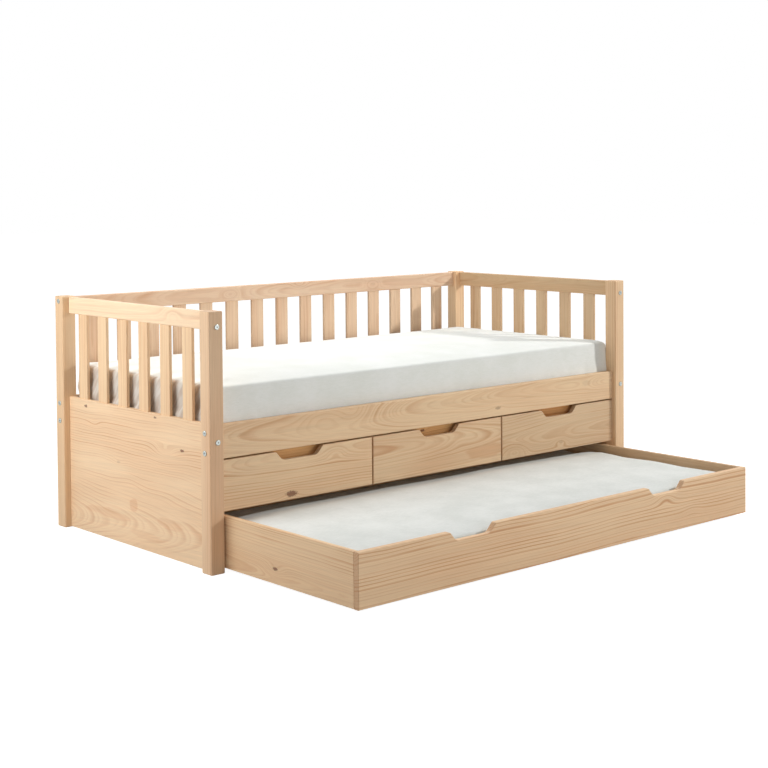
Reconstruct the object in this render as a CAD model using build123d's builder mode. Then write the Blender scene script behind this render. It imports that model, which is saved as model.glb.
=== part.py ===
from build123d import *
from math import sqrt
import os

os.makedirs("parts", exist_ok=True)

# Bed frame
bed_length = 2090.0
bed_depth = 1002.0
post_height = 865.0
post_size = 55.0
post_edge_radius = 4.0
board_edge_radius = 2.0
rail_edge_radius = 4.0

# How far the trundle's front stands before the posts at rest
trundle_reach = 671.0

# Long rails: front rail and lower back rail
rail_thickness = 27.0
rail_height = 114.0
rail_top = 489.0
front_recess = 16.5

# End frames: both have the same side towards the left
end_recess = 25.0
top_rail_thickness = 24.0
top_rail_height = 61.0
top_rail_drop = 3.5
end_board_thickness = 20.0
end_board_top = 490.0
end_board_foot = 3.0

# Upright slats of the ends and of the back guard
slat_width = 58.0
slat_thickness = 12.0
slat_tongue = 12.0
end_slat_count = 6
end_slat_back_gap = 65.0
end_slat_front_gap = 88.0
back_slat_count = 15

# Mattress base
cleat_width = 25.0
cleat_height = 25.0
cleat_drop = 59.0
base_slat_count = 14
base_slat_width = 90.0
base_slat_thickness = 18.0
base_slat_radius = 1.5

# Connecting bolts and their barrel nuts
bolt_radius = 3.0
bolt_head_radius = 9.0
bolt_head_height = 2.5
bolt_socket_radius = 2.4
bolt_socket_depth = 1.8
bolt_reach = 44.0
bolt_pair_spacing = 66.0
end_bolt_offset = 31.0
top_rail_end_bolt_rise = 13.0
top_rail_back_bolt_drop = 15.5
end_board_bolt_drop = 55.5
nut_radius = 5.0
nut_length = 10.0
nut_setback = 32.0
dowel_radius = 5.0
dowel_length = 56.0
dowel_edge_radius = 1.0
end_dowel_heights = (70.0, 200.0, 330.0)

# Wood screws
screw_radius = 2.0
screw_head_radius = 4.0
screw_length = 32.0
screw_head_angle = 90.0
screw_end_inset = 12.0
screw_side_inset = 22.0

# Fits
fit_gap = 0.3
bore_gap = 0.1
slide_gap = 0.5
overrun = 2.0

# Drawers
drawer_count = 3
drawer_front_thickness = 20.0
drawer_bottom_height = 200.0
drawer_top_gap = 5.0
drawer_side_gap = 6.5
drawer_post_gap = 2.5
drawer_box_depth = 580.0
drawer_box_rise = 14.0
drawer_box_height = 154.0
drawer_finger_space = 20.0
drawer_board_thickness = 14.0
drawer_floor_thickness = 6.0
drawer_floor_rise = 8.0
drawer_groove_depth = 5.0
drawer_dowel_radius = 4.0
drawer_dowel_front_depth = 12.0
drawer_dowel_side_depth = 18.0
drawer_dowel_inset = 22.0
divider_thickness = 18.0
divider_foot_rise = 5.0
runner_gap = 9.5
runner_height = 17.0
runner_shortfall = 40.0
runner_front_setback = 8.0
runner_rise = 52.0
runner_bite = 5.5

# Finger cut-outs of the drawers and the trundle
grip_top_width = 204.0
grip_floor_width = 150.0
grip_depth = 30.5
grip_radius = 12.0
grip_floor_radius = 32.0
front_edge_radius = 2.5

# Trundle
trundle_left_gap = 4.0
trundle_right_gap = 41.0
trundle_back_gap = 41.5
trundle_floor_gap = 15.7
trundle_top = 189.0
trundle_front_thickness = 22.0
trundle_board_thickness = 18.0
trundle_grip_offset = 488.0
trundle_dowel_inset = 35.0
trundle_cleat_width = 50.0
trundle_cleat_height = 20.0
trundle_cleat_rise = 46.0
trundle_slat_count = 13
trundle_slat_width = 80.0
trundle_slat_thickness = 14.0
bearer_width = 45.0

# Castors
wheel_radius = 20.0
wheel_width = 16.0
wheel_edge_radius = 3.0
wheel_hub_radius = 8.0
wheel_dish = 2.0
wheel_running_gap = 1.0
axle_radius = 3.0
axle_gap = 0.06
axle_head_radius = 4.6
axle_head_height = 1.2
bracket_thickness = 2.5
bracket_cheek_length = 26.0
bracket_plate_length = 60.0
bracket_plate_width = 38.0
bracket_corner_radius = 1.0
castor_end_inset = 120.0

# Upper mattress
mattress_left_gap = 2.0
mattress_right_gap = 9.0
mattress_front_gap = 3.5
mattress_back_gap = 15.5
mattress_thickness = 172.0
mattress_corner = 45.0
mattress_side_draw = 6.0
mattress_edge_inset = 70.0

# Trundle mattress
trundle_mattress_side_gap = 3.0
trundle_mattress_thickness = 96.0
trundle_mattress_corner = 40.0
trundle_mattress_draw = 5.0
trundle_mattress_edge_inset = 60.0

# Heights of a mattress's sections as shares of its thickness, and how far each draws in
cushion_height_shares = (0.0, 0.05, 0.2, 0.5, 0.8, 0.92, 0.985, 1.0)
cushion_inset_shares = (0.22, 0.08, 0.02, 0.0, 0.02, 0.09, 0.45, 1.0)

# Planes of the frame that the pieces share
overall_depth = trundle_reach + bed_depth + bolt_head_height
front_y = trundle_reach - overall_depth / 2
back_y = front_y + bed_depth
left_x = -bed_length / 2
right_x = bed_length / 2
inner_left_x = left_x + post_size
inner_right_x = right_x - post_size
inner_front_y = front_y + post_size
inner_back_y = back_y - post_size
end_post_xs = {"left": left_x, "right": inner_right_x}

rail_front_y = front_y + front_recess
rail_back_y = rail_front_y + rail_thickness
rail_bottom = rail_top - rail_height
back_centre_y = back_y - post_size / 2
lower_back_y = back_centre_y - rail_thickness / 2
guard_front_y = back_centre_y - top_rail_thickness / 2
top_rail_top = post_height - top_rail_drop
top_rail_bottom = top_rail_top - top_rail_height
left_board_inner_x = left_x + end_recess + end_board_thickness
right_board_inner_x = inner_right_x + end_recess

# Bolt places: rail bolts run along the bed, end bolts run across it
rail_bolt_zs = [
    rail_bottom + rail_height / 2 + bolt_pair_spacing / 2,
    rail_bottom + rail_height / 2 - bolt_pair_spacing / 2,
]
guard_bolt_z = top_rail_top - top_rail_back_bolt_drop
end_bolt_zs = {"rail": top_rail_bottom + top_rail_end_bolt_rise, "board": end_board_top - end_board_bolt_drop}
front_bolt_y = rail_front_y + rail_thickness / 2
bolt_length = post_size + bolt_reach

left_outward = (-1, 0, 0)
right_outward = (1, 0, 0)
front_outward = (0, -1, 0)
back_outward = (0, 1, 0)
upward = (0, 0, 1)


def save(part, name):
    part.label = name
    export_step(part, "parts/" + name + ".step")


def board(low, high, edge_radius, bores=(), pockets=()):
    """A board between two corners: rounded edges, then round bores and square pockets."""
    centre = [(a + b) / 2 for a, b in zip(low, high)]
    with BuildPart() as piece:
        with BuildSketch(Plane.XY.offset(low[2])):
            with Locations((centre[0], centre[1])):
                Rectangle(high[0] - low[0], high[1] - low[1])
        extrude(amount=high[2] - low[2])
        fillet(piece.edges(), radius=edge_radius)
        for mouth, outward, radius, depth in bores:
            with Locations(Plane(origin=mouth, z_dir=outward)):
                Hole(radius, depth)
        for pocket_low, pocket_high in pockets:
            middle = [(a + b) / 2 for a, b in zip(pocket_low, pocket_high)]
            size = [b - a for a, b in zip(pocket_low, pocket_high)]
            with Locations(tuple(middle)):
                Box(size[0], size[1], size[2], mode=Mode.SUBTRACT)
    return piece.part


def gathered(pieces):
    """Several pieces of one kind as separate solids."""
    with BuildPart() as group:
        for piece in pieces:
            add(piece)
    return group.part


def fastener_set(fastener, places):
    """Copies of one fastener at each place, as separate solids."""
    with BuildPart() as group:
        with Locations(*[Location(place) for place in places]):
            add(fastener)
    return group.part


# Where each bolt's head sits and how each barrel nut lies
bolt_places = []
nut_places = []
post_bores = {}
rail_end_bores = {"front": [], "lower_back": [], "guard": []}
end_frame_bores = {}


def long_bolt(rail, row, row_y, z, nut_face_y):
    """A bolt along X through a left and a right post into a long rail, with a nut bored from behind."""
    bores = rail_end_bores[rail]
    for side, outer_x, inner_x, outward in (
        ("left", left_x, inner_left_x, left_outward),
        ("right", right_x, inner_right_x, right_outward),
    ):
        inward = -outward[0]
        head = (outer_x, row_y, z)
        nut = (inner_x + inward * nut_setback, row_y, z)
        bolt_places.append(Plane(origin=head, z_dir=outward))
        nut_places.append(Plane(origin=nut, x_dir=outward, z_dir=back_outward))
        post_bores.setdefault((row, side), []).append((head, outward, bolt_radius + bore_gap, post_size))
        bores.append(((inner_x, row_y, z), outward, bolt_radius + bore_gap, bolt_reach + overrun))
        nut_mouth = (nut[0], nut_face_y, z)
        bores.append((nut_mouth, back_outward, nut_radius + bore_gap, nut_face_y - row_y + nut_length / 2))


def end_bolt(side, piece, z, nut_face_x):
    """A bolt along Y through the front or back post into an end frame's rail or board."""
    bolt_x = end_post_xs[side] + end_bolt_offset
    bores = end_frame_bores.setdefault((side, piece), [])
    for row, outer_y, inner_y, outward in (
        ("front", front_y, inner_front_y, front_outward),
        ("back", back_y, inner_back_y, back_outward),
    ):
        inward = -outward[1]
        head = (bolt_x, outer_y, z)
        nut = (bolt_x, inner_y + inward * nut_setback, z)
        bolt_places.append(Plane(origin=head, z_dir=outward))
        nut_places.append(Plane(origin=nut, x_dir=outward, z_dir=right_outward))
        post_bores.setdefault((row, side), []).append((head, outward, bolt_radius + bore_gap, post_size))
        bores.append(((bolt_x, inner_y, z), outward, bolt_radius + bore_gap, bolt_reach + overrun))
        nut_mouth = (nut_face_x, nut[1], z)
        bores.append((nut_mouth, right_outward, nut_radius + bore_gap, nut_face_x - bolt_x + nut_length / 2))


for bolt_z in rail_bolt_zs:
    long_bolt("front", "front", front_bolt_y, bolt_z, rail_back_y)
    long_bolt("lower_back", "back", back_centre_y, bolt_z, lower_back_y + rail_thickness)
long_bolt("guard", "back", back_centre_y, guard_bolt_z, guard_front_y + top_rail_thickness)
for side, post_x in end_post_xs.items():
    end_bolt(side, "rail", end_bolt_zs["rail"], post_x + end_recess + top_rail_thickness)
    end_bolt(side, "board", end_bolt_zs["board"], post_x + end_recess + end_board_thickness)

# Dowels between the posts and the lower end boards
dowel_places = []
for side, post_x in end_post_xs.items():
    dowel_x = post_x + end_recess + end_board_thickness / 2
    for row, inner_y, outward in (("front", inner_front_y, front_outward), ("back", inner_back_y, back_outward)):
        for dowel_z in end_dowel_heights:
            mouth = (dowel_x, inner_y, dowel_z)
            inward = tuple(-a for a in outward)
            bore_depth = dowel_length / 2 + fit_gap
            dowel_places.append(Plane(origin=mouth, z_dir=outward))
            post_bores[(row, side)].append((mouth, inward, dowel_radius + bore_gap, bore_depth))
            end_frame_bores[(side, "board")].append((mouth, outward, dowel_radius + bore_gap, bore_depth))

# Posts
for row, post_y in (("front", front_y), ("back", inner_back_y)):
    for side, post_x in end_post_xs.items():
        low = (post_x, post_y, 0)
        high = (post_x + post_size, post_y + post_size, post_height)
        save(board(low, high, post_edge_radius, post_bores[(row, side)]), row + "_" + side + "_post")

# Left and right end frames
end_slat_span = inner_back_y - inner_front_y - end_slat_back_gap - end_slat_front_gap
end_slat_pitch = (end_slat_span - slat_width) / (end_slat_count - 1)
first_end_slat_y = inner_front_y + end_slat_front_gap + slat_width / 2
end_slat_ys = [first_end_slat_y + end_slat_pitch * i for i in range(end_slat_count)]
slat_low_z = end_board_top - slat_tongue
slat_high_z = top_rail_bottom + slat_tongue

for side, post_x in end_post_xs.items():
    face_x = post_x + end_recess
    slat_x = face_x + end_board_thickness / 2
    half_pocket_x = slat_thickness / 2 + fit_gap
    half_pocket_y = slat_width / 2 + fit_gap
    rail_pockets = []
    board_pockets = []
    for slat_y in end_slat_ys:
        rail_pockets.append(
            (
                (slat_x - half_pocket_x, slat_y - half_pocket_y, top_rail_bottom - overrun),
                (slat_x + half_pocket_x, slat_y + half_pocket_y, slat_high_z + fit_gap),
            )
        )
        board_pockets.append(
            (
                (slat_x - half_pocket_x, slat_y - half_pocket_y, slat_low_z - fit_gap),
                (slat_x + half_pocket_x, slat_y + half_pocket_y, end_board_top + overrun),
            )
        )
    rail = board(
        (face_x, inner_front_y, top_rail_bottom),
        (face_x + top_rail_thickness, inner_back_y, top_rail_top),
        rail_edge_radius,
        end_frame_bores[(side, "rail")],
        rail_pockets,
    )
    save(rail, side + "_end_top_rail")
    lower = board(
        (face_x, inner_front_y, end_board_foot),
        (face_x + end_board_thickness, inner_back_y, end_board_top),
        board_edge_radius,
        end_frame_bores[(side, "board")],
        board_pockets,
    )
    save(lower, side + "_end_board")
    with BuildPart() as end_slats:
        with BuildSketch(Plane.XY.offset(slat_low_z)):
            with Locations(*[(slat_x, slat_y) for slat_y in end_slat_ys]):
                RectangleRounded(slat_thickness, slat_width, board_edge_radius)
        extrude(amount=slat_high_z - slat_low_z)
    save(end_slats.part, side + "_end_slats")

# Back guard: top rail, slats and the lower back rail
inner_length = inner_right_x - inner_left_x
back_slat_gap = (inner_length - back_slat_count * slat_width) / (back_slat_count + 1)
back_slat_pitch = back_slat_gap + slat_width
first_back_slat_x = inner_left_x + back_slat_gap + slat_width / 2
back_slat_xs = [first_back_slat_x + back_slat_pitch * i for i in range(back_slat_count)]
back_slat_low_z = rail_top - slat_tongue
guard_pockets = []
lower_back_pockets = []
for slat_x in back_slat_xs:
    low_x = slat_x - slat_width / 2 - fit_gap
    high_x = slat_x + slat_width / 2 + fit_gap
    low_y = back_centre_y - slat_thickness / 2 - fit_gap
    high_y = back_centre_y + slat_thickness / 2 + fit_gap
    guard_pockets.append(((low_x, low_y, top_rail_bottom - overrun), (high_x, high_y, slat_high_z + fit_gap)))
    lower_back_pockets.append(((low_x, low_y, back_slat_low_z - fit_gap), (high_x, high_y, rail_top + overrun)))

back_top_rail = board(
    (inner_left_x, guard_front_y, top_rail_bottom),
    (inner_right_x, guard_front_y + top_rail_thickness, top_rail_top),
    rail_edge_radius,
    rail_end_bores["guard"],
    guard_pockets,
)
save(back_top_rail, "back_top_rail")

with BuildPart() as back_slats:
    with BuildSketch(Plane.XY.offset(back_slat_low_z)):
        with Locations(*[(slat_x, back_centre_y) for slat_x in back_slat_xs]):
            RectangleRounded(slat_width, slat_thickness, board_edge_radius)
    extrude(amount=slat_high_z - back_slat_low_z)
save(back_slats.part, "back_slats")

# Mattress base: a cleat on each long rail and the cross slats screwed to them
cleat_top = rail_top - cleat_drop
cleat_bottom = cleat_top - cleat_height
front_cleat_y = rail_back_y
back_cleat_y = lower_back_y - cleat_width
base_slat_pitch = (inner_length - base_slat_width) / (base_slat_count - 1)
base_slat_xs = [inner_left_x + base_slat_width / 2 + base_slat_pitch * i for i in range(base_slat_count)]
base_slat_low_y = rail_back_y + fit_gap
base_slat_high_y = lower_back_y - fit_gap
base_slat_top = cleat_top + base_slat_thickness


def screw_rows(slat_xs, low_y, high_y):
    """Two screws at each end of every cross slat."""
    rows = []
    for slat_x in slat_xs:
        for end_y in (low_y + screw_end_inset, high_y - screw_end_inset):
            for offset in (-screw_side_inset, screw_side_inset):
                rows.append((slat_x + offset, end_y))
    return rows


def cross_slats(slat_xs, low_y, high_y, floor_z, width, thickness, screws):
    """A row of slats across the bed with countersunk screw holes."""
    with BuildPart() as slats:
        with BuildSketch(Plane.XY.offset(floor_z)):
            with Locations(*[(slat_x, (low_y + high_y) / 2) for slat_x in slat_xs]):
                Rectangle(width, high_y - low_y)
        extrude(amount=thickness)
        fillet(slats.edges().filter_by(Axis.Y), radius=base_slat_radius)
        with Locations(*[(x, y, floor_z + thickness) for x, y in screws]):
            CounterSinkHole(
                screw_radius + bore_gap,
                screw_head_radius + bore_gap,
                thickness,
                counter_sink_angle=screw_head_angle,
            )
    return slats.part


with BuildPart() as screw:
    with BuildSketch():
        Circle(screw_radius)
    extrude(amount=-screw_length)
    head_height = screw_head_radius - screw_radius
    Cone(screw_radius, screw_head_radius, head_height, align=(Align.CENTER, Align.CENTER, Align.MAX))

base_screws = screw_rows(base_slat_xs, base_slat_low_y, base_slat_high_y)
cleat_bores = {front_cleat_y: [], back_cleat_y: []}
for x, y in base_screws:
    cleat_y = front_cleat_y if y < front_cleat_y + cleat_width else back_cleat_y
    bore_depth = screw_length - base_slat_thickness + overrun
    cleat_bores[cleat_y].append(((x, y, cleat_top), upward, screw_radius + bore_gap, bore_depth))

front_rail = board(
    (inner_left_x, rail_front_y, rail_bottom),
    (inner_right_x, rail_back_y, rail_top),
    rail_edge_radius,
    rail_end_bores["front"],
)
save(front_rail, "front_rail")
lower_back_rail = board(
    (inner_left_x, lower_back_y, rail_bottom),
    (inner_right_x, lower_back_y + rail_thickness, rail_top),
    rail_edge_radius,
    rail_end_bores["lower_back"],
    lower_back_pockets,
)
save(lower_back_rail, "lower_back_rail")
cleats = []
for cleat_y, bores in cleat_bores.items():
    low = (inner_left_x, cleat_y, cleat_bottom)
    high = (inner_right_x, cleat_y + cleat_width, cleat_top)
    cleats.append(board(low, high, base_slat_radius, bores))
save(gathered(cleats), "mattress_base_cleats")
base_slats = cross_slats(
    base_slat_xs, base_slat_low_y, base_slat_high_y, cleat_top, base_slat_width, base_slat_thickness, base_screws
)
save(base_slats, "mattress_base_slats")
save(
    fastener_set(screw.part, [Plane(origin=(x, y, base_slat_top)) for x, y in base_screws]),
    "base_slat_screws",
)

# Drawers: fronts in a row, dividers between them, runners in the grooves of their sides
drawer_top = rail_bottom - drawer_top_gap
drawer_row_length = inner_length - 2 * drawer_post_gap - (drawer_count - 1) * drawer_side_gap
drawer_front_width = drawer_row_length / drawer_count
drawer_pitch = drawer_front_width + drawer_side_gap
drawer_names = ("left", "middle", "right")
box_front_y = rail_front_y + drawer_front_thickness
box_back_y = box_front_y + drawer_box_depth
box_bottom = drawer_bottom_height + drawer_box_rise
box_top = box_bottom + drawer_box_height
runner_bottom = box_bottom + runner_rise
runner_front_y = inner_front_y + runner_front_setback
runner_length = drawer_box_depth - runner_shortfall
runner_back_y = runner_front_y + runner_length
divider_bottom = drawer_bottom_height + divider_foot_rise
divider_xs = []
for i in range(drawer_count - 1):
    divider_xs.append(inner_left_x + drawer_post_gap + drawer_pitch * (i + 1) - drawer_side_gap / 2)

for name, divider_x in zip(("left", "right"), divider_xs):
    divider = board(
        (divider_x - divider_thickness / 2, rail_back_y, divider_bottom),
        (divider_x + divider_thickness / 2, lower_back_y, cleat_bottom),
        board_edge_radius,
    )
    save(divider, name + "_drawer_divider")


def notched_front(low_x, high_x, low_z, high_z, face_y, thickness, grip_xs, dowels):
    """A front board with rounded edges, a finger cut-out at each grip place and dowel holes behind."""
    outline = [(low_x, low_z), (low_x, high_z)]
    for grip_x in grip_xs:
        outline.append((grip_x - grip_top_width / 2, high_z))
        outline.append((grip_x - grip_floor_width / 2, high_z - grip_depth))
        outline.append((grip_x + grip_floor_width / 2, high_z - grip_depth))
        outline.append((grip_x + grip_top_width / 2, high_z))
    outline += [(high_x, high_z), (high_x, low_z)]
    with BuildPart() as front:
        with BuildSketch(Plane.XZ.offset(-face_y)) as face:
            with BuildLine():
                Polyline(*outline, close=True)
            make_face()
            floor_corners = face.vertices().filter_by(
                lambda v: low_x + grip_radius < v.X < high_x - grip_radius and v.Y < high_z - grip_depth / 2
            )
            fillet(floor_corners, radius=grip_floor_radius)
            mouth_corners = face.vertices().filter_by(
                lambda v: low_x + grip_radius < v.X < high_x - grip_radius and v.Y > high_z - grip_depth / 2
            )
            fillet(mouth_corners, radius=grip_radius)
        extrude(amount=-thickness)
        fillet(front.faces().sort_by(Axis.Y)[0].edges(), radius=front_edge_radius)
        fillet(front.faces().sort_by(Axis.Y)[-1].edges(), radius=front_edge_radius)
        for mouth in dowels:
            with Locations(Plane(origin=mouth, z_dir=back_outward)):
                Hole(drawer_dowel_radius + bore_gap, drawer_dowel_front_depth + fit_gap)
    return front.part


with BuildPart() as drawer_dowel:
    with BuildSketch(Plane.XY.offset(-drawer_dowel_front_depth)):
        Circle(drawer_dowel_radius)
    extrude(amount=drawer_dowel_front_depth + drawer_dowel_side_depth)
    fillet(drawer_dowel.edges().filter_by(GeomType.CIRCLE), radius=dowel_edge_radius)

for index, name in enumerate(drawer_names):
    front_low_x = inner_left_x + drawer_post_gap + drawer_pitch * index
    front_high_x = front_low_x + drawer_front_width
    is_first = index == 0
    is_last = index == drawer_count - 1
    bay_low_x = inner_left_x if is_first else divider_xs[index - 1] + divider_thickness / 2
    bay_high_x = inner_right_x if is_last else divider_xs[index] - divider_thickness / 2
    side_low_x = bay_low_x + runner_gap
    side_high_x = bay_high_x - runner_gap
    dowel_zs = (box_bottom + drawer_dowel_inset, box_top - drawer_dowel_inset)
    side_centres = (side_low_x + drawer_board_thickness / 2, side_high_x - drawer_board_thickness / 2)
    dowels = [(x, box_front_y, z) for x in side_centres for z in dowel_zs]

    front = notched_front(
        front_low_x,
        front_high_x,
        drawer_bottom_height,
        drawer_top,
        rail_front_y,
        drawer_front_thickness,
        [(front_low_x + front_high_x) / 2],
        dowels,
    )
    save(front, name + "_drawer_front")

    groove_low_z = runner_bottom - fit_gap
    groove_high_z = runner_bottom + runner_height + fit_gap
    floor_low_z = box_bottom + drawer_floor_rise
    floor_high_z = floor_low_z + drawer_floor_thickness
    side_boards = []
    for side_x, groove_x, slot_x in (
        (side_low_x, side_low_x, side_low_x + drawer_board_thickness),
        (side_high_x - drawer_board_thickness, side_high_x, side_high_x - drawer_board_thickness),
    ):
        runner_cut = runner_bite + slide_gap
        groove = (
            (groove_x - runner_cut, box_front_y - overrun, groove_low_z),
            (groove_x + runner_cut, box_back_y + overrun, groove_high_z),
        )
        floor_slot = (
            (slot_x - drawer_groove_depth - fit_gap, box_front_y - overrun, floor_low_z - fit_gap),
            (slot_x + drawer_groove_depth + fit_gap, box_back_y + overrun, floor_high_z + fit_gap),
        )
        side_dowels = [
            (mouth, front_outward, drawer_dowel_radius + bore_gap, drawer_dowel_side_depth + fit_gap)
            for mouth in dowels
            if side_x < mouth[0] < side_x + drawer_board_thickness
        ]
        side_board = board(
            (side_x, box_front_y, box_bottom),
            (side_x + drawer_board_thickness, box_back_y, box_top),
            base_slat_radius,
            side_dowels,
            [groove, floor_slot],
        )
        side_boards.append(side_board)
    save(gathered(side_boards), name + "_drawer_sides")

    # The board behind the cut-out stands back, so that fingers reach round the front
    finger_board_y = box_front_y + drawer_finger_space
    inner_front = board(
        (side_low_x + drawer_board_thickness, finger_board_y, floor_high_z + fit_gap),
        (side_high_x - drawer_board_thickness, finger_board_y + drawer_board_thickness, box_top),
        base_slat_radius,
    )
    save(inner_front, name + "_drawer_inner_front")
    back = board(
        (side_low_x + drawer_board_thickness, box_back_y - drawer_board_thickness, floor_high_z + fit_gap),
        (side_high_x - drawer_board_thickness, box_back_y, box_top),
        base_slat_radius,
    )
    save(back, name + "_drawer_back")
    floor_reach = drawer_groove_depth - drawer_board_thickness
    floor = board(
        (side_low_x - floor_reach, box_front_y + fit_gap, floor_low_z),
        (side_high_x + floor_reach, box_back_y, floor_high_z),
        base_slat_radius,
    )
    save(floor, name + "_drawer_floor")
    save(
        fastener_set(drawer_dowel.part, [Plane(origin=mouth, z_dir=back_outward) for mouth in dowels]),
        name + "_drawer_dowels",
    )

# Runner strips, on the lower end boards and on both faces of each divider
with BuildPart() as runners:
    runner_faces = [(left_board_inner_x, inner_left_x + runner_gap + runner_bite)]
    for divider_x in divider_xs:
        low_face = divider_x - divider_thickness / 2
        high_face = divider_x + divider_thickness / 2
        runner_faces.append((low_face - runner_gap - runner_bite, low_face))
        runner_faces.append((high_face, high_face + runner_gap + runner_bite))
    runner_faces.append((inner_right_x - runner_gap - runner_bite, right_board_inner_x))
    for low_face, high_face in runner_faces:
        with BuildSketch(Plane.XY.offset(runner_bottom)):
            with Locations(((low_face + high_face) / 2, (runner_front_y + runner_back_y) / 2)):
                Rectangle(high_face - low_face, runner_length)
        extrude(amount=runner_height)
    fillet(runners.edges().filter_by(Axis.Y), radius=fit_gap)
save(runners.part, "drawer_runners")

# Bolts, barrel nuts and dowels of the bed frame
with BuildPart() as bolt:
    with BuildSketch():
        Circle(bolt_radius)
    extrude(amount=-bolt_length)
    with BuildSketch():
        Circle(bolt_head_radius)
    extrude(amount=bolt_head_height)
    fillet(bolt.faces().sort_by(Axis.Z)[-1].edges(), radius=bolt_head_height / 2)
    with BuildSketch(Plane.XY.offset(bolt_head_height)):
        RegularPolygon(bolt_socket_radius, 6)
    extrude(amount=-bolt_socket_depth, mode=Mode.SUBTRACT)
save(fastener_set(bolt.part, bolt_places), "frame_bolts")

with BuildPart() as barrel_nut:
    Cylinder(nut_radius, nut_length)
    with Locations(Plane.YZ):
        Hole(bolt_radius + bore_gap)
save(fastener_set(barrel_nut.part, nut_places), "frame_barrel_nuts")

with BuildPart() as dowel:
    Cylinder(dowel_radius, dowel_length)
    fillet(dowel.edges().filter_by(GeomType.CIRCLE), radius=dowel_edge_radius)
save(fastener_set(dowel.part, dowel_places), "end_board_dowels")

# Trundle box
trundle_low_x = inner_left_x + trundle_left_gap
trundle_high_x = inner_right_x - trundle_right_gap
trundle_length = trundle_high_x - trundle_low_x
trundle_centre_x = (trundle_low_x + trundle_high_x) / 2
trundle_front_y = front_y - trundle_reach
trundle_back_y = trundle_front_y + bed_depth - front_recess - trundle_back_gap
trundle_inner_y = trundle_front_y + trundle_front_thickness
trundle_back_inner_y = trundle_back_y - trundle_board_thickness
trundle_inner_depth = trundle_back_inner_y - trundle_inner_y

trundle_side_xs = {"left": trundle_low_x, "right": trundle_high_x - trundle_board_thickness}
trundle_dowels = []
for side_x in trundle_side_xs.values():
    for z in (trundle_floor_gap + trundle_dowel_inset, trundle_top - trundle_dowel_inset):
        trundle_dowels.append((side_x + trundle_board_thickness / 2, trundle_inner_y, z))

trundle_front = notched_front(
    trundle_low_x,
    trundle_high_x,
    trundle_floor_gap,
    trundle_top,
    trundle_front_y,
    trundle_front_thickness,
    [trundle_centre_x - trundle_grip_offset, trundle_centre_x + trundle_grip_offset],
    trundle_dowels,
)
save(trundle_front, "trundle_front")
save(
    fastener_set(drawer_dowel.part, [Plane(origin=mouth, z_dir=back_outward) for mouth in trundle_dowels]),
    "trundle_dowels",
)

for side, side_x in trundle_side_xs.items():
    side_dowels = [
        (mouth, front_outward, drawer_dowel_radius + bore_gap, drawer_dowel_side_depth + fit_gap)
        for mouth in trundle_dowels
        if side_x < mouth[0] < side_x + trundle_board_thickness
    ]
    trundle_side = board(
        (side_x, trundle_inner_y, trundle_floor_gap),
        (side_x + trundle_board_thickness, trundle_back_y, trundle_top),
        board_edge_radius,
        side_dowels,
    )
    save(trundle_side, "trundle_" + side + "_side")

inside_low_x = trundle_low_x + trundle_board_thickness
inside_high_x = trundle_high_x - trundle_board_thickness
trundle_back = board(
    (inside_low_x, trundle_back_inner_y, trundle_floor_gap),
    (inside_high_x, trundle_back_y, trundle_top),
    board_edge_radius,
)
save(trundle_back, "trundle_back")

# Trundle base: front and back cleat, centre bearer, cross slats and screws
trundle_cleat_top = trundle_cleat_rise + trundle_cleat_height
trundle_slat_top = trundle_cleat_top + trundle_slat_thickness
inside_length = inside_high_x - inside_low_x
trundle_slat_pitch = (inside_length - trundle_slat_width) / (trundle_slat_count - 1)
trundle_slat_xs = [
    inside_low_x + trundle_slat_width / 2 + trundle_slat_pitch * i for i in range(trundle_slat_count)
]
trundle_slat_low_y = trundle_inner_y + fit_gap
trundle_slat_high_y = trundle_back_inner_y - fit_gap
trundle_screws = screw_rows(trundle_slat_xs, trundle_slat_low_y, trundle_slat_high_y)
trundle_cleats = []
for low_y in (trundle_inner_y, trundle_back_inner_y - trundle_cleat_width):
    bores = [
        ((x, y, trundle_cleat_top), upward, screw_radius + bore_gap, trundle_cleat_height)
        for x, y in trundle_screws
        if low_y < y < low_y + trundle_cleat_width
    ]
    low = (inside_low_x, low_y, trundle_cleat_rise)
    high = (inside_high_x, low_y + trundle_cleat_width, trundle_cleat_top)
    trundle_cleats.append(board(low, high, base_slat_radius, bores))
save(gathered(trundle_cleats), "trundle_base_cleats")

bearer_y = (trundle_inner_y + trundle_back_inner_y) / 2
bearer = board(
    (inside_low_x, bearer_y - bearer_width / 2, trundle_cleat_rise),
    (inside_high_x, bearer_y + bearer_width / 2, trundle_cleat_top),
    base_slat_radius,
)
save(bearer, "trundle_centre_bearer")
trundle_slats = cross_slats(
    trundle_slat_xs,
    trundle_slat_low_y,
    trundle_slat_high_y,
    trundle_cleat_top,
    trundle_slat_width,
    trundle_slat_thickness,
    trundle_screws,
)
save(trundle_slats, "trundle_base_slats")
save(
    fastener_set(screw.part, [Plane(origin=(x, y, trundle_slat_top)) for x, y in trundle_screws]),
    "trundle_slat_screws",
)

# Castors: a folded bracket, an axle and a wheel at six places
castor_span = trundle_length / 2 - castor_end_inset
castor_xs = {
    "left": trundle_centre_x - castor_span,
    "middle": trundle_centre_x,
    "right": trundle_centre_x + castor_span,
}
castor_ys = {
    "front": trundle_inner_y + trundle_cleat_width / 2,
    "back": trundle_back_inner_y - trundle_cleat_width / 2,
}
cheek_inner = wheel_width / 2 + wheel_running_gap
cheek_outer = cheek_inner + bracket_thickness
plate_low_z = trundle_cleat_rise - bracket_thickness
cheek_low_z = wheel_radius - bracket_cheek_length / 2
castor_centres = [(x, y, wheel_radius) for x in castor_xs.values() for y in castor_ys.values()]

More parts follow.
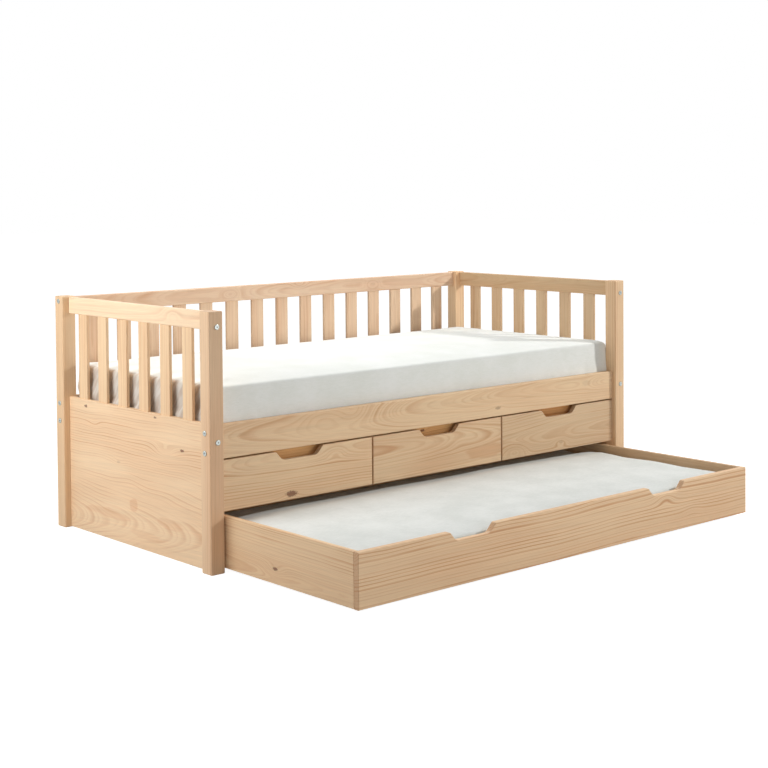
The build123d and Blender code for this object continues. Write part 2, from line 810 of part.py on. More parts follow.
with BuildPart() as bracket:
    with BuildSketch(Plane.XY.offset(plate_low_z)):
        Rectangle(bracket_plate_length, bracket_plate_width)
    extrude(amount=bracket_thickness)
    with BuildSketch(Plane.XY.offset(cheek_low_z)):
        with Locations((-(cheek_inner + cheek_outer) / 2, 0), ((cheek_inner + cheek_outer) / 2, 0)):
            Rectangle(bracket_thickness, bracket_cheek_length)
    extrude(amount=plate_low_z - cheek_low_z)
    fillet(bracket.edges().filter_by(Axis.Z), radius=bracket_corner_radius)
    with Locations(Plane(origin=(0, 0, wheel_radius), z_dir=right_outward)):
        Hole(axle_radius + axle_gap)
with BuildPart() as brackets:
    with Locations(*[(x, y, 0) for x, y, z in castor_centres]):
        add(bracket.part)
save(brackets.part, "castor_brackets")

with BuildPart() as axle:
    with BuildSketch(Plane.YZ.offset(-cheek_outer)):
        Circle(axle_radius)
    extrude(amount=2 * cheek_outer)
    with BuildSketch(Plane.YZ.offset(cheek_outer)):
        Circle(axle_head_radius)
    extrude(amount=axle_head_height)
    with BuildSketch(Plane.YZ.offset(-cheek_outer)):
        Circle(axle_head_radius)
    extrude(amount=-axle_head_height)
with BuildPart() as axles:
    with Locations(*castor_centres):
        add(axle.part)
save(axles.part, "castor_axles")

for column, wheel_x in castor_xs.items():
    for row, wheel_y in castor_ys.items():
        with BuildPart() as wheel:
            with BuildSketch(Plane.YZ.offset(wheel_x - wheel_width / 2)):
                with Locations((wheel_y, wheel_radius)):
                    Circle(wheel_radius)
            extrude(amount=wheel_width)
            fillet(wheel.edges().filter_by(GeomType.CIRCLE), radius=wheel_edge_radius)
            for face_x, inward in ((wheel_x - wheel_width / 2, 1), (wheel_x + wheel_width / 2, -1)):
                with BuildSketch(Plane.YZ.offset(face_x)):
                    with Locations((wheel_y, wheel_radius)):
                        Circle(wheel_radius - 2 * wheel_edge_radius)
                        Circle(wheel_hub_radius, mode=Mode.SUBTRACT)
                extrude(amount=inward * wheel_dish, mode=Mode.SUBTRACT)
            with Locations(Plane(origin=(wheel_x, wheel_y, wheel_radius), z_dir=right_outward)):
                Hole(axle_radius + axle_gap)
        save(wheel.part, "castor_wheel_" + row + "_" + column)


def cushion_section(plane, length, width, corner, draw):
    """The outline of a mattress at one height: rounded corners, sides drawn in between them."""
    half_x = length / 2
    half_y = width / 2
    bend = corner * (1 - sqrt(1 / 2))
    with BuildSketch(plane) as section:
        with BuildLine():
            ThreePointArc((corner - half_x, -half_y), (0, draw - half_y), (half_x - corner, -half_y))
            ThreePointArc((half_x - corner, -half_y), (half_x - bend, bend - half_y), (half_x, corner - half_y))
            ThreePointArc((half_x, corner - half_y), (half_x - draw, 0), (half_x, half_y - corner))
            ThreePointArc((half_x, half_y - corner), (half_x - bend, half_y - bend), (half_x - corner, half_y))
            ThreePointArc((half_x - corner, half_y), (0, half_y - draw), (corner - half_x, half_y))
            ThreePointArc((corner - half_x, half_y), (bend - half_x, half_y - bend), (-half_x, half_y - corner))
            ThreePointArc((-half_x, half_y - corner), (draw - half_x, 0), (-half_x, corner - half_y))
            ThreePointArc((-half_x, corner - half_y), (bend - half_x, bend - half_y), (corner - half_x, -half_y))
        make_face()
    return section.sketch


def cushion(centre_x, centre_y, base_z, length, width, thickness, corner, draw, edge_inset):
    """A mattress with a crown and drawn-in sides, lofted through its sections."""
    sections = []
    for height_share, inset_share in zip(cushion_height_shares, cushion_inset_shares):
        plane = Plane(origin=(centre_x, centre_y, base_z + thickness * height_share))
        inset = edge_inset * inset_share
        sections.append(cushion_section(plane, length - 2 * inset, width - 2 * inset, corner, draw))
    with BuildPart() as pad:
        loft(sections, ruled=True)
    return pad.part


mattress_low_x = left_x + end_recess + top_rail_thickness + mattress_left_gap
mattress_high_x = right_board_inner_x - mattress_right_gap
mattress_low_y = rail_back_y + mattress_front_gap
mattress_high_y = guard_front_y - mattress_back_gap
mattress = cushion(
    (mattress_low_x + mattress_high_x) / 2,
    (mattress_low_y + mattress_high_y) / 2,
    base_slat_top + fit_gap,
    mattress_high_x - mattress_low_x,
    mattress_high_y - mattress_low_y,
    mattress_thickness,
    mattress_corner,
    mattress_side_draw,
    mattress_edge_inset,
)
save(mattress, "upper_mattress")

trundle_mattress = cushion(
    trundle_centre_x,
    bearer_y,
    trundle_slat_top + fit_gap,
    inside_length - 2 * trundle_mattress_side_gap,
    trundle_inner_depth - 2 * trundle_mattress_side_gap,
    trundle_mattress_thickness,
    trundle_mattress_corner,
    trundle_mattress_draw,
    trundle_mattress_edge_inset,
)
save(trundle_mattress, "trundle_mattress")
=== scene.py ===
import math

import bmesh
import bpy
import numpy as np
from mathutils import Matrix, Vector


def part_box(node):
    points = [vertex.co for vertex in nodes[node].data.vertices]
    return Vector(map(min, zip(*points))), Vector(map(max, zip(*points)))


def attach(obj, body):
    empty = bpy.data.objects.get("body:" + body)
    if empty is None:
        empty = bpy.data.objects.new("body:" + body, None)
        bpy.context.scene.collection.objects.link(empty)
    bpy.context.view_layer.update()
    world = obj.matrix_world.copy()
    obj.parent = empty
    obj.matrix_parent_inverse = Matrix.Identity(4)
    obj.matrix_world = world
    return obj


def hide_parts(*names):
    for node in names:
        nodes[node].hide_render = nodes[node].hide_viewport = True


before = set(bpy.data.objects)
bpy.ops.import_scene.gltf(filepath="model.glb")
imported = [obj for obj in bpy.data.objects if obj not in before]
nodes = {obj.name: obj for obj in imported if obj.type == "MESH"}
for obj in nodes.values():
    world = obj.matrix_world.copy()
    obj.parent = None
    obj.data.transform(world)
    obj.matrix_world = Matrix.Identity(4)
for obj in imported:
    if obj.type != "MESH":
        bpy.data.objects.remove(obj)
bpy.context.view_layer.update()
scene = bpy.context.scene

WHITE = (1.0, 1.0, 1.0, 1.0)
TINY = 1e-9

# Camera: the photograph's viewing angle
LENS = 70.875
SENSOR = 36.0
EYE = Vector((-3.8571, -4.21745, 1.2894))
YAW = math.radians(41.42)
PITCH = math.radians(1.71)
ROLL = math.radians(-0.42)
SHIFT_Y = -0.207

forward = Vector((math.sin(YAW) * math.cos(PITCH), math.cos(YAW) * math.cos(PITCH), -math.sin(PITCH)))
level_right = Vector((math.cos(YAW), -math.sin(YAW), 0.0))
level_up = level_right.cross(forward)
right = math.cos(ROLL) * level_right + math.sin(ROLL) * level_up
up = -math.sin(ROLL) * level_right + math.cos(ROLL) * level_up
camera_data = bpy.data.cameras.new("camera")
camera_data.lens = LENS
camera_data.sensor_width = SENSOR
camera_data.shift_y = SHIFT_Y
camera = bpy.data.objects.new("camera", camera_data)
camera.matrix_world = Matrix(
    (
        (right.x, up.x, -forward.x, EYE.x),
        (right.y, up.y, -forward.y, EYE.y),
        (right.z, up.z, -forward.z, EYE.z),
        (0.0, 0.0, 0.0, 1.0),
    )
)
scene.collection.objects.link(camera)
scene.camera = camera
scene.view_settings.view_transform = "Standard"


class Graph:
    """Builds a node tree from short calls, in which a value may be a number or another node's output."""

    def __init__(self, tree):
        self.tree = tree

    def node(self, kind, **settings):
        made = self.tree.nodes.new(kind)
        for key, value in settings.items():
            setattr(made, key, value)
        return made

    def put(self, socket, value):
        if isinstance(value, bpy.types.NodeSocket):
            self.tree.links.new(value, socket)
        elif value is not None:
            socket.default_value = value

    def math(self, operation, a, b=None, clamp=False):
        made = self.node("ShaderNodeMath", operation=operation, use_clamp=clamp)
        for socket, value in zip(made.inputs, (a, b)):
            self.put(socket, value)
        return made.outputs[0]

    def add(self, a, b):
        return self.math("ADD", a, b)

    def sub(self, a, b):
        return self.math("SUBTRACT", a, b)

    def mul(self, a, b):
        return self.math("MULTIPLY", a, b)

    def div(self, a, b):
        return self.math("DIVIDE", a, b)

    def xyz(self, x, y, z):
        made = self.node("ShaderNodeCombineXYZ")
        for socket, value in zip(made.inputs, (x, y, z)):
            self.put(socket, value)
        return made.outputs[0]

    def split(self, vector):
        made = self.node("ShaderNodeSeparateXYZ")
        self.put(made.inputs[0], vector)
        return made.outputs

    def place(self, kind="Object"):
        return self.node("ShaderNodeTexCoord").outputs[kind]

    def noise(self, vector, scale=1.0, detail=2.0, rough=0.5, distortion=0.0, colour=False):
        made = self.node("ShaderNodeTexNoise")
        self.put(made.inputs["Vector"], vector)
        made.inputs["Scale"].default_value = scale
        made.inputs["Detail"].default_value = detail
        made.inputs["Roughness"].default_value = rough
        made.inputs["Distortion"].default_value = distortion
        return made.outputs["Color" if colour else "Fac"]

    def chance(self, vector):
        """White noise: outputs that differ from one whole number to the next."""
        made = self.node("ShaderNodeTexWhiteNoise", noise_dimensions="2D")
        self.put(made.inputs["Vector"], vector)
        return made.outputs

    def ramp(self, value, low, high, out_low=0.0, out_high=1.0, smooth=True):
        made = self.node("ShaderNodeMapRange", interpolation_type="SMOOTHSTEP" if smooth else "LINEAR")
        for name, item in (
            ("Value", value),
            ("From Min", low),
            ("From Max", high),
            ("To Min", out_low),
            ("To Max", out_high),
        ):
            self.put(made.inputs[name], item)
        return made.outputs["Result"]

    def blend(self, factor, a, b, mode="MIX"):
        made = self.node("ShaderNodeMix", data_type="RGBA", blend_type=mode)
        for number, value in ((0, factor), (6, a), (7, b)):
            self.put(made.inputs[number], value)
        return made.outputs[2]

    def bump(self, height, strength, distance, below=None):
        made = self.node("ShaderNodeBump")
        made.inputs["Strength"].default_value = strength
        made.inputs["Distance"].default_value = distance
        self.put(made.inputs["Height"], height)
        self.put(made.inputs["Normal"], below)
        return made.outputs[0]

    def surface(self, colour, roughness, normal, **fixed):
        """The principled shader with its output; fixed holds the uniform values of further sockets."""
        shader = self.node("ShaderNodeBsdfPrincipled")
        self.put(shader.inputs["Base Color"], colour)
        self.put(shader.inputs["Roughness"], roughness)
        self.put(shader.inputs["Normal"], normal)
        for name, value in fixed.items():
            shader.inputs[name.replace("_", " ")].default_value = value
        out = self.node("ShaderNodeOutputMaterial")
        self.put(out.inputs["Surface"], shader.outputs[0])


def linear(r, g, b):
    """A colour given in display values from 0 to 255, as a linear colour."""
    out = []
    for value in (r, g, b):
        share = value / 255.0
        out.append(share / 12.92 if share <= 0.04045 else ((share + 0.055) / 1.055) ** 2.4)
    return (out[0], out[1], out[2], 1.0)


def new_material(name):
    material = bpy.data.materials.new(name)
    material.use_nodes = True
    tree = material.node_tree
    tree.nodes.clear()
    return material, Graph(tree)


def dress(objects, material):
    for obj in objects:
        obj.data.materials.clear()
        obj.data.materials.append(material)


def seen_itself(g):
    """1 for the rays in which a thing is seen, directly, mirrored or through glass, and 0 for its light."""
    rays = g.node("ShaderNodeLightPath").outputs
    seen = g.math("ADD", rays["Is Camera Ray"], rays["Is Glossy Ray"], clamp=True)
    return g.math("ADD", seen, rays["Is Transmission Ray"], clamp=True)


# Studio light: a small key from the right front, wide soft lamps from the left, above and the front
NEUTRAL = (1.0, 1.0, 1.0)
HARDLY_WARM = (1.0, 0.995, 0.985)
LITTLE_WARM = (1.0, 0.99, 0.975)
WARM = (1.0, 0.985, 0.965)


def area_lamp(name, place, target, size, power, colour, spread=180.0):
    """A rectangular lamp, width by height, turned to its target and hidden from the camera."""
    data = bpy.data.lights.new(name, "AREA")
    data.shape = "RECTANGLE"
    data.size, data.size_y = size
    data.energy = power
    data.color = colour
    data.spread = math.radians(spread)
    lamp = bpy.data.objects.new(name, data)
    lamp.location = place
    lamp.rotation_euler = (Vector(target) - lamp.location).to_track_quat("-Z", "Y").to_euler()
    lamp.visible_camera = False
    scene.collection.objects.link(lamp)


area_lamp("key", (4.0, -2.3, 2.65), (0.6, -0.2, 0.4), size=(0.22, 0.22), power=126.0, colour=WARM)
area_lamp("fill", (-2.5, 0.6, 1.25), (-1.0, 0.3, 0.5), size=(1.3, 0.8), power=25.0, colour=HARDLY_WARM)
area_lamp("top", (0.9, 0.95, 2.6), (0.3, 0.3, 0.6), size=(1.8, 1.2), power=28.0, colour=NEUTRAL)
area_lamp("top_left", (-0.6, 0.5, 2.6), (-0.6, 0.42, 0.6), size=(1.2, 0.9), power=4.0, colour=NEUTRAL,
          spread=80.0)
area_lamp("front", (-0.15, -2.9, 0.6), (0.0, -0.8, 0.2), size=(2.2, 0.7), power=12.0, colour=LITTLE_WARM)
area_lamp("front_left", (-2.6, -2.2, 0.7), (-0.7, -0.5, 0.35), size=(0.9, 0.6), power=3.5,
          colour=LITTLE_WARM)

# Background: white where it is seen, weaker as a light
SKY_COLOUR = (0.97, 0.98, 1.0, 1.0)
SKY_STRENGTH = 0.24

world = bpy.data.worlds.new("studio")
scene.world = world
world.use_nodes = True
world.node_tree.nodes.clear()
g = Graph(world.node_tree)
backdrop = g.node("ShaderNodeMixShader")
g.put(backdrop.inputs[0], seen_itself(g))
for number, colour, strength in ((1, SKY_COLOUR, SKY_STRENGTH), (2, WHITE, 1.0)):
    background = g.node("ShaderNodeBackground")
    background.inputs["Color"].default_value = colour
    background.inputs["Strength"].default_value = strength
    g.put(backdrop.inputs[number], background.outputs[0])
g.put(g.node("ShaderNodeOutputWorld").inputs["Surface"], backdrop.outputs[0])

# Floor: white where it is seen, with the object's shadow kept, and grey for the light that it sends back
FLOOR_HALF = 30
FLOOR_GREY = (0.5, 0.5, 0.5, 1.0)
FLOOR_GLOW = 0.95

floor_mesh = bpy.data.meshes.new("floor")
floor_corners = [(x * FLOOR_HALF, y * FLOOR_HALF, 0) for x, y in ((-1, -1), (1, -1), (1, 1), (-1, 1))]
floor_mesh.from_pydata(floor_corners, [], [(0, 1, 2, 3)])
floor = bpy.data.objects.new("floor", floor_mesh)
scene.collection.objects.link(floor)

material, g = new_material("floor")
diffuse = g.node("ShaderNodeBsdfDiffuse")
diffuse.inputs["Color"].default_value = FLOOR_GREY
glow = g.node("ShaderNodeEmission")
glow.inputs["Color"].default_value = WHITE
g.put(glow.inputs["Strength"], g.mul(seen_itself(g), FLOOR_GLOW))
both = g.node("ShaderNodeAddShader")
g.put(both.inputs[0], diffuse.outputs[0])
g.put(both.inputs[1], glow.outputs[0])
g.put(g.node("ShaderNodeOutputMaterial").inputs["Surface"], both.outputs[0])
dress([floor], material)

# Pine: a block of wood with rings round a pith line, so every cut face shows its own figure
EARLY = linear(242, 210, 170)
LATE = linear(205, 146, 98)
HEART = linear(231, 188, 146)
KNOT = linear(112, 66, 46)
END_PALE = linear(190, 138, 98)
END_DARK = linear(150, 100, 68)
SEED_STEP = 7.31
BEND_ACROSS = 2.0
BEND_THROUGH = 2.6
FINE_WAVE = 0.0012
RING_STRETCH = 2.2
WEAKEST_RING = 0.12
HAIR_LINES = 3.0
HAIR_STRENGTH = 0.40
LATE_SHARE = 0.8
KNOT_SHARE = 0.85
FIBRE_SHADE = 0.18
STREAK_SHADE = 0.20


def pine_group():
    """The wood: the look at a place that is given along the grain, across it and through the board."""
    tree = bpy.data.node_groups.new("pine", "ShaderNodeTree")
    sockets = tree.interface
    sockets.new_socket("Grain", in_out="INPUT", socket_type="NodeSocketVector")
    for name in ("Seed", "Pith V", "Pith W", "Tilt", "Ring", "Wobble", "Ripple", "Calm", "Contrast", "Heart",
                 "Light", "Bump", "Knot", "Smoke"):
        sockets.new_socket(name, in_out="INPUT", socket_type="NodeSocketFloat")
    sockets.new_socket("Color", in_out="OUTPUT", socket_type="NodeSocketColor")
    sockets.new_socket("Height", in_out="OUTPUT", socket_type="NodeSocketFloat")
    sockets.new_socket("Roughness", in_out="OUTPUT", socket_type="NodeSocketFloat")
    g = Graph(tree)
    given = g.node("NodeGroupInput").outputs
    result = g.node("NodeGroupOutput").inputs
    u, v, w = g.split(given["Grain"])
    seed = g.mul(given["Seed"], SEED_STEP)

    def stretched(along, across, detail, rough):
        """A noise drawn out along the grain, with its paces per metre."""
        place = g.xyz(g.add(g.mul(u, along), seed), g.mul(v, across), g.mul(w, across))
        return g.noise(place, 1.0, detail, rough)

    # Rings: slow bends of the trunk, then small irregular waves
    slow = g.noise(g.xyz(g.add(g.mul(u, 1.5), seed), seed, 0.3), 1.0, 1.0, 0.5, colour=True)
    slow_v, slow_w, _ = g.split(slow)
    bend_v = g.mul(g.sub(slow_v, 0.5), g.mul(given["Wobble"], BEND_ACROSS))
    bend_w = g.mul(g.sub(slow_w, 0.5), g.mul(given["Wobble"], BEND_THROUGH))
    waves_mid = stretched(3.4, 9.0, 1.5, 0.5)
    waves_fine = stretched(16.0, 60.0, 2.0, 0.6)
    from_v = g.add(g.sub(v, given["Pith V"]), bend_v)
    from_w = g.add(g.add(g.sub(w, given["Pith W"]), g.mul(u, given["Tilt"])), bend_w)
    radius = g.math("SQRT", g.add(g.mul(from_v, from_v), g.mul(from_w, from_w)))
    radius = g.add(radius, g.mul(g.sub(waves_mid, 0.5), given["Ripple"]))
    radius = g.add(radius, g.mul(g.sub(waves_fine, 0.5), FINE_WAVE))
    radius = g.add(radius, given["Bump"])

    # Late wood: a band at the end of each ring, of its own strength, and hair lines between the bands
    phase = g.div(radius, given["Ring"])
    uneven = g.noise(g.xyz(g.mul(phase, 0.31), seed, 1.7), 1.0, 1.5, 0.5)
    phase = g.add(phase, g.mul(uneven, RING_STRETCH))
    part = g.math("FRACT", phase)
    draw = g.chance(g.xyz(g.math("FLOOR", phase), seed, 0.0))["Value"]
    strength = g.ramp(draw, 0.0, 1.0, WEAKEST_RING, 1.0, smooth=False)
    band = g.mul(g.mul(g.ramp(part, 0.42, 0.84), g.ramp(part, 0.86, 0.98, 1.0, 0.0)), strength)
    inner = g.math("FRACT", g.mul(phase, HAIR_LINES))
    hair = g.mul(g.ramp(inner, 0.4, 0.8), g.ramp(inner, 0.86, 1.0, 1.0, 0.0))
    lines = g.math("MAXIMUM", band, g.mul(hair, HAIR_STRENGTH))
    fade = g.ramp(stretched(3.0, 15.0, 2.0, 0.5), 0.34, 0.6, given["Calm"], 1.0)
    late = g.mul(g.mul(lines, fade), given["Contrast"])

    # Fibres, fine pores and slow colour changes along the board
    fibre = stretched(12.0, 360.0, 3.0, 0.7)
    streak = stretched(3.0, 130.0, 2.0, 0.6)
    patch = stretched(1.4, 8.0, 1.0, 0.5)
    heart = g.add(g.mul(g.ramp(patch, 0.40, 0.66), given["Heart"]), given["Smoke"])
    grained = g.blend(g.mul(late, LATE_SHARE), g.blend(heart, EARLY, HEART), LATE)
    shade = g.add(g.mul(g.sub(fibre, 0.5), FIBRE_SHADE), g.mul(g.sub(streak, 0.5), STREAK_SHADE))
    # The Light input scales the board's colour: painted light and shade, given board by board
    shade = g.mul(g.add(shade, 1.0), given["Light"])
    tinted = g.blend(1.0, grained, g.xyz(shade, shade, shade), "MULTIPLY")
    core = g.ramp(given["Knot"], 0.0, 1.0)
    g.put(result["Color"], g.blend(g.mul(core, KNOT_SHARE), tinted, KNOT))
    g.put(result["Height"], g.add(g.mul(late, 0.6), g.mul(fibre, 0.4)))
    g.put(result["Roughness"], g.ramp(fibre, 0.3, 0.7, 0.46, 0.58, smooth=False))
    return tree


PINE = pine_group()
AXES = {"x": 0, "y": 1, "z": 2}
KNOT_STRETCH = 0.42
KNOT_RAGGED = 0.9
SMOKE_RAGGED = 1.4


def joined(g, operation, values):
    """Outputs put together two by two, or 0 where there are none."""
    if not values:
        return 0.0
    total = values[0]
    for value in values[1:]:
        total = g.math(operation, total, value)
    return total


def pine(name, low, high, grain, face, seed, pith=(0.0, 0.06), tilt=0.0, ring=0.006, wobble=0.012,
         ripple=0.009, slope=0.0, calm=0.4, contrast=1.0, pale=None, heart=0.35, light=1.0, tone=None,
         ends=0.6, knots=(), smokes=(), pitch=None):
    """A pine material for one board, or for a row of boards.

    grain and face: the axes that the grain runs along and the widest face looks along
    pith: where the pith lies, from the board's middle, across and through it; tilt: its slant
    ring: a ring's width; wobble: the trunk's bends; ripple: the rings' waves; slope: slant of the grain
    calm: the late wood left in quiet places; contrast: its strength; pale: two heights across and the
    share of the contrast at the first; heart: the darker patches' share; ends: the end grain's share
    light and tone: the board's brightness and tint, painted light and shade set board by board,
    lighter and cooler where the board is lit, darker or warmer where it lies in shade
    knots: place along and across, radius, reach and lift of the rings round it, darkness
    smokes: place along and across, half lengths along and across, depth of a darker cloud
    pitch: axis, start and step of a row of boards, each of which gets its own figure
    """
    material, g = new_material(name)
    coordinates = g.place()
    parts = g.split(coordinates)
    centre = [(a + b) / 2 for a, b in zip(low, high)]
    across = ({"x", "y", "z"} - {grain, face}).pop()
    along, over = parts[AXES[grain]], parts[AXES[across]]
    u = g.sub(along, centre[AXES[grain]])
    v = g.sub(over, centre[AXES[across]])
    w = g.sub(parts[AXES[face]], centre[AXES[face]])
    if slope:
        v = g.add(v, g.mul(u, slope))
    board_seed, (pith_v, pith_w) = seed, pith
    if pitch is not None:
        axis, start, step = pitch
        from_start = g.sub(parts[AXES[axis]], start)
        index = g.math("FLOOR", g.div(from_start, step))
        offset = g.sub(from_start, g.mul(g.add(index, 0.5), step))
        if axis == across:
            v = offset
        else:
            w = offset
        first, second, third = g.split(g.chance(g.xyz(g.add(index, seed), 0.37, 0.0))["Color"])
        board_seed = g.add(g.mul(first, 19.0), seed)
        pith_v = g.mul(g.sub(second, 0.5), 0.09)
        pith_w = g.add(g.mul(third, 0.06), 0.02)
    if pale is not None:
        first_height, last_height, share = pale
        contrast = g.ramp(over, first_height, last_height, contrast * share, contrast)

    lifts, cores = [], []
    for place_u, place_v, radius, reach, lift, dark in knots:
        du = g.mul(g.sub(along, place_u), KNOT_STRETCH)
        dv = g.sub(over, place_v)
        square = g.add(g.mul(du, du), g.mul(dv, dv))
        lifts.append(g.mul(g.math("EXPONENT", g.mul(square, -1.0 / (reach * reach))), lift))
        if dark > 0.0:
            ragged = g.mul(g.sub(g.noise(coordinates, 160.0, 1.0, 0.5), 0.5), radius * KNOT_RAGGED)
            cores.append(g.ramp(g.add(g.math("SQRT", square), ragged), radius * 0.5, radius, dark, 0.0))
    clouds = []
    for place_u, place_v, half_u, half_v, depth in smokes:
        du = g.div(g.sub(along, place_u), half_u)
        dv = g.div(g.sub(over, place_v), half_v)
        ragged = g.sub(g.noise(g.xyz(u, g.mul(v, 3.0), 0.4), 9.0, 2.0, 0.5), 0.5)
        far = g.add(g.math("SQRT", g.add(g.mul(du, du), g.mul(dv, dv))), g.mul(ragged, SMOKE_RAGGED))
        clouds.append(g.ramp(far, 0.75, 1.05, depth, 0.0))

    board = g.node("ShaderNodeGroup")
    board.node_tree = PINE
    for socket, value in (
        ("Grain", g.xyz(u, v, w)),
        ("Seed", board_seed),
        ("Pith V", pith_v),
        ("Pith W", pith_w),
        ("Tilt", tilt),
        ("Ring", ring),
        ("Wobble", wobble),
        ("Ripple", ripple),
        ("Calm", calm),
        ("Contrast", contrast),
        ("Heart", heart),
        ("Light", light),
        ("Bump", joined(g, "ADD", lifts)),
        ("Knot", joined(g, "MAXIMUM", cores)),
        ("Smoke", joined(g, "MAXIMUM", clouds)),
    ):
        g.put(board.inputs[socket], value)

    # End grain: small pores instead of the figure, where the face looks along the grain
    wood = board.outputs["Color"]
    # The tone tints the board: painted light and shade too, paler and cooler where lit, warmer where shaded
    if tone is not None:
        wood = g.blend(1.0, wood, tone, "MULTIPLY")
    sawn = g.ramp(g.math("ABSOLUTE", g.split(g.place("Normal"))[AXES[grain]]), 0.4, 0.65)
    pores = g.ramp(g.noise(coordinates, 420.0, 2.0, 0.6), 0.35, 0.65)
    colour = g.blend(g.mul(sawn, ends), wood, g.blend(pores, END_PALE, END_DARK))
    g.surface(colour, board.outputs["Roughness"], g.bump(board.outputs["Height"], 0.12, 0.0006),
              Specular_IOR_Level=0.35)
    return material


def pine_node(node, grain, face, seed, **settings):
    low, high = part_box(node)
    dress([nodes[node]], pine(node, tuple(low), tuple(high), grain, face, seed, **settings))


def board_row(node, axis, width, count):
    """The pitch of a row of boards that are this wide, from the first one to the last one."""
    low, high = (corner[AXES[axis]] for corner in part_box(node))
    step = (high - low - width) / (count - 1)
    return axis, low + width / 2 - step / 2, step


# Posts, each a little lighter or darker: painted light and shade
POST = {"ends": 0.1, "contrast": 0.6}
pine_node("front_left_post", "z", "y", 1.0, pith=(0.075, -0.050), wobble=0.006, heart=0.6, light=0.93,
          tone=(1.0, 0.98, 1.01, 1.0), **POST)
pine_node("front_right_post", "z", "y", 2.0, pith=(0.06, 0.055), wobble=0.005, light=0.95, **POST)
pine_node("back_left_post", "z", "y", 3.0, pith=(-0.07, 0.05), wobble=0.005, light=0.92, **POST)
pine_node("back_right_post", "z", "y", 4.0, pith=(0.05, 0.06), ring=0.0065, wobble=0.005, heart=0.6,
          light=1.05, **POST)

# End frames
# The left end's top rail gets painted light, paler and cooler, and the board a little
pine_node("left_end_top_rail", "y", "x", 10.0, pith=(0.03, 0.07), tilt=0.03, ring=0.009, contrast=0.45,
          heart=0.0, light=1.06, tone=(1.0, 1.04, 1.13, 1.0),
          knots=((0.0856, 0.8378, 0.01, 0.022, 0.012, 0.0),))
pine_node("left_end_board", "y", "x", 11.0, pith=(-0.17, 0.10), tilt=0.10, ring=0.0095, wobble=0.014,
          ripple=0.024, slope=0.05, calm=0.2, contrast=0.95, pale=(0.19, 0.36, 0.6), heart=0.3, light=1.02,
          tone=(0.985, 1.0, 1.04, 1.0),
          knots=((0.6612, 0.4668, 0.006, 0.020, 0.006, 1.0), (0.1984, 0.4768, 0.0045, 0.018, 0.005, 0.9),
                 (0.0346, 0.3821, 0.006, 0.020, 0.006, 1.0), (0.1384, 0.3617, 0.01, 0.034, 0.030, 0.0),
                 (0.60, 0.405, 0.01, 0.020, 0.012, 0.0), (0.44, 0.29, 0.007, 0.022, 0.010, 0.3),
                 (0.36, 0.235, 0.01, 0.035, -0.012, 0.0)),
          smokes=((0.3406, 0.1505, 0.032, 0.022, 0.75), (0.50, 0.095, 0.17, 0.018, 0.6),
                  (0.1128, 0.1183, 0.09, 0.020, 0.5), (0.27, 0.055, 0.12, 0.016, 0.4)))
# The right end's inner faces get painted shade: the rail darker and warmer, the board a little darker
pine_node("right_end_top_rail", "y", "x", 20.0, pith=(0.012, 0.06), tilt=0.02, ring=0.007, contrast=0.8,
          light=0.76, tone=(1.0, 0.96, 0.90, 1.0))
pine_node("right_end_board", "y", "x", 21.0, pith=(0.10, 0.10), tilt=0.03, ring=0.011, wobble=0.03,
          ripple=0.02, contrast=0.8, light=0.9,
          knots=((0.15, 0.30, 0.006, 0.022, 0.008, 0.9), (0.52, 0.16, 0.01, 0.034, 0.026, 0.0)))

# Upright slats of the end frames and the back guard
SLAT = {"wobble": 0.004, "ripple": 0.006, "contrast": 0.8}
SLAT_WIDTH = 0.058
# The right end's slats get painted shade, darker than the left end's
for node, seed, light in (("left_end_slats", 12.0, 0.97), ("right_end_slats", 22.0, 0.80)):
    pine_node(node, "z", "x", seed, light=light, pitch=board_row(node, "y", SLAT_WIDTH, 6), **SLAT)
# The back guard's slats get painted shade, a little darker and cooler
pine_node("back_slats", "z", "y", 32.0, heart=0.5, light=0.89, tone=(1.0, 1.0, 1.09, 1.0),
          pitch=board_row("back_slats", "x", SLAT_WIDTH, 15), **SLAT)

# Back guard's rails
# The back guard's top rail gets painted shade too, a little darker and cooler
pine_node("back_top_rail", "x", "y", 31.0, pith=(0.0, 0.055), tilt=0.035, ring=0.0085, wobble=0.018,
          contrast=0.75, heart=0.45, light=0.87, tone=(1.0, 1.0, 1.12, 1.0),
          knots=((0.0889, 0.853, 0.01, 0.016, 0.016, 0.0), (0.4975, 0.832, 0.006, 0.016, 0.016, 0.25),
                 (-0.266, 0.83, 0.01, 0.018, 0.014, 0.0)))
pine_node("lower_back_rail", "x", "y", 33.0, pith=(0.02, 0.06), tilt=0.02, ring=0.007, wobble=0.02)

# Front rail, the mattress base and the boards under it
# The front rail gets a little painted shade
pine_node("front_rail", "x", "y", 41.0, pith=(0.02, 0.06), tilt=0.05, ring=0.0085, wobble=0.017,
          contrast=0.75, light=0.92,
          knots=((-0.4168, 0.462, 0.01, 0.044, 0.016, 0.0), (-0.6641, 0.452, 0.01, 0.034, 0.005, 0.0),
                 (0.3106, 0.4069, 0.008, 0.018, 0.008, 0.5), (0.8277, 0.4547, 0.016, 0.024, 0.006, 0.22)))
pine_node("mattress_base_cleats", "x", "z", 42.0)
pine_node("mattress_base_slats", "y", "z", 43.0, ring=0.007,
          pitch=board_row("mattress_base_slats", "x", 0.09, 14))
pine_node("drawer_runners", "y", "x", 44.0)
pine_node("left_drawer_divider", "y", "x", 45.0, pith=(0.03, 0.08), ring=0.008, wobble=0.02)
pine_node("right_drawer_divider", "y", "x", 46.0, pith=(0.03, 0.08), ring=0.008, wobble=0.02)
